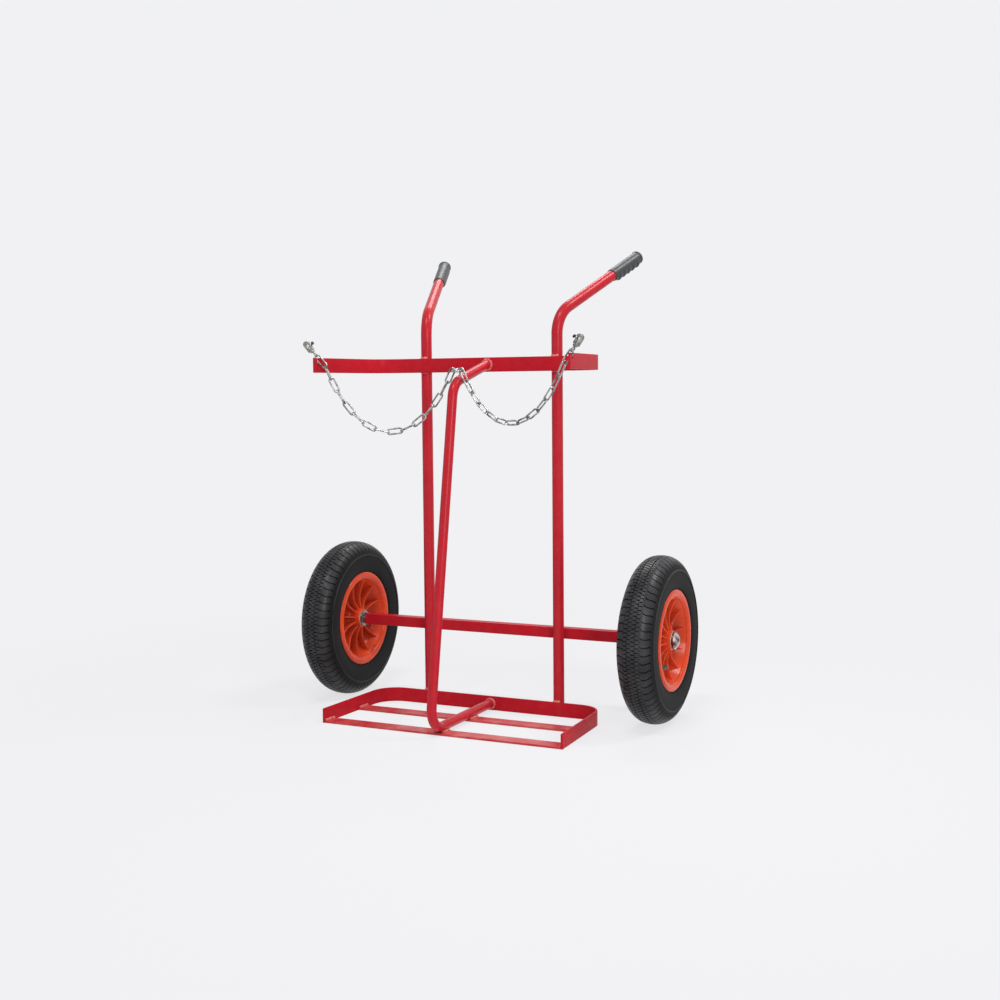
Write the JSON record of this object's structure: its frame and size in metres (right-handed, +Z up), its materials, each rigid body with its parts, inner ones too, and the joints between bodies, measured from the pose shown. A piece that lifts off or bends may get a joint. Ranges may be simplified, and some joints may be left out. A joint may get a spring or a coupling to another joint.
{
  "type": "gas cylinder trolley",
  "caption": "Upright welded tube trolley with a flat-bar tray, divided cylinder bays, hanging retaining chains, rubber-gripped handles and pneumatic wheels.",
  "frame": {"origin": "on the ground, under the middle of the trolley's outline", "axes": "+Z up, +X to the right seen from the loading side, -Y towards the loading side, handles towards +Y"},
  "size_m": [0.9516, 0.6362, 1.1393],
  "materials": {
    "red_paint": "gloss",
    "zinc_plate": "bright zinc plate",
    "grip_rubber": "matt",
    "tyre_rubber": "matt",
    "rim_plastic": "satin",
    "bush_plastic": "matt",
    "cap_plastic": "matt"
  },
  "bodies": {
    "frame": {"left_upright": "red_paint", "right_upright": "red_paint", "left_grip": "grip_rubber", "right_grip": "grip_rubber", "top_bar": "red_paint", "centre_tube": "red_paint", "chain_eye": "zinc_plate", "tray_wall": "red_paint", "tray_front_bar": "red_paint", "tray_middle_bar": "red_paint", "axle_beam": "red_paint", "axle_rod": "zinc_plate", "axle_spacers": "zinc_plate", "inner_washers": "zinc_plate", "outer_washers": "zinc_plate", "left_axle_cap": "zinc_plate", "right_axle_cap": "zinc_plate", "left_end_link": "zinc_plate", "right_end_link": "zinc_plate", "left_snap_eye": "zinc_plate", "right_snap_eye": "zinc_plate"},
    "left_wheel": {"left_tyre": "tyre_rubber", "left_inner_tube": "tyre_rubber", "left_rim_outer_half": "rim_plastic", "left_rim_inner_half": "rim_plastic", "left_outer_bush": "bush_plastic", "left_inner_bush": "bush_plastic", "left_valve": "zinc_plate", "left_valve_cap": "cap_plastic"},
    "left_hanging_chain": {"left_chain": "zinc_plate"},
    "left_snap": {"left_snap_hook": "zinc_plate"},
    "left_bolt": {"left_snap_bolt": "zinc_plate"},
    "right_wheel": {"right_tyre": "tyre_rubber", "right_inner_tube": "tyre_rubber", "right_rim_outer_half": "rim_plastic", "right_rim_inner_half": "rim_plastic", "right_outer_bush": "bush_plastic", "right_inner_bush": "bush_plastic", "right_valve": "zinc_plate", "right_valve_cap": "cap_plastic"},
    "right_hanging_chain": {"right_chain": "zinc_plate"},
    "right_snap": {"right_snap_hook": "zinc_plate"},
    "right_bolt": {"right_snap_bolt": "zinc_plate"}
  },
  "joints": [
    {"name": "left_wheel_spin", "type": "hinge", "parent": "frame", "child": "left_wheel", "pos_m": [-0.425, 0.04514, 0.2], "axis": [1, 0, 0], "continuous": true},
    {"name": "left_chain_swing", "type": "hinge", "parent": "frame", "child": "left_hanging_chain", "pos_m": [-0.30749, -0.24632, 0.85257], "axis": [0.9608, 0.2753, -0.0311], "range_deg": [-20, 20]},
    {"name": "left_snap_swivel", "type": "hinge", "parent": "frame", "child": "left_snap", "pos_m": [-0.32652, -0.25178, 0.87617], "axis": [-0.6179, -0.1771, 0.766], "continuous": true},
    {"name": "left_bolt_slide", "type": "slide", "parent": "left_snap", "child": "left_bolt", "axis": [0.6179, 0.1771, -0.766], "range_m": [0, 0.0036], "stiffness_N_per_m": 500, "springref_m": -0.003},
    {"name": "right_wheel_spin", "type": "hinge", "parent": "frame", "child": "right_wheel", "pos_m": [0.425, 0.04514, 0.2], "axis": [1, 0, 0], "continuous": true},
    {"name": "right_chain_swing", "type": "hinge", "parent": "frame", "child": "right_hanging_chain", "pos_m": [0.30749, -0.24632, 0.85257], "axis": [-0.9608, 0.2753, -0.0311], "range_deg": [-20, 20]},
    {"name": "right_snap_swivel", "type": "hinge", "parent": "frame", "child": "right_snap", "pos_m": [0.32652, -0.25178, 0.87617], "axis": [0.6179, -0.1771, 0.766], "continuous": true},
    {"name": "right_bolt_slide", "type": "slide", "parent": "right_snap", "child": "right_bolt", "axis": [-0.6179, 0.1771, -0.766], "range_m": [0, 0.0036], "stiffness_N_per_m": 500, "springref_m": -0.003}
  ]
}
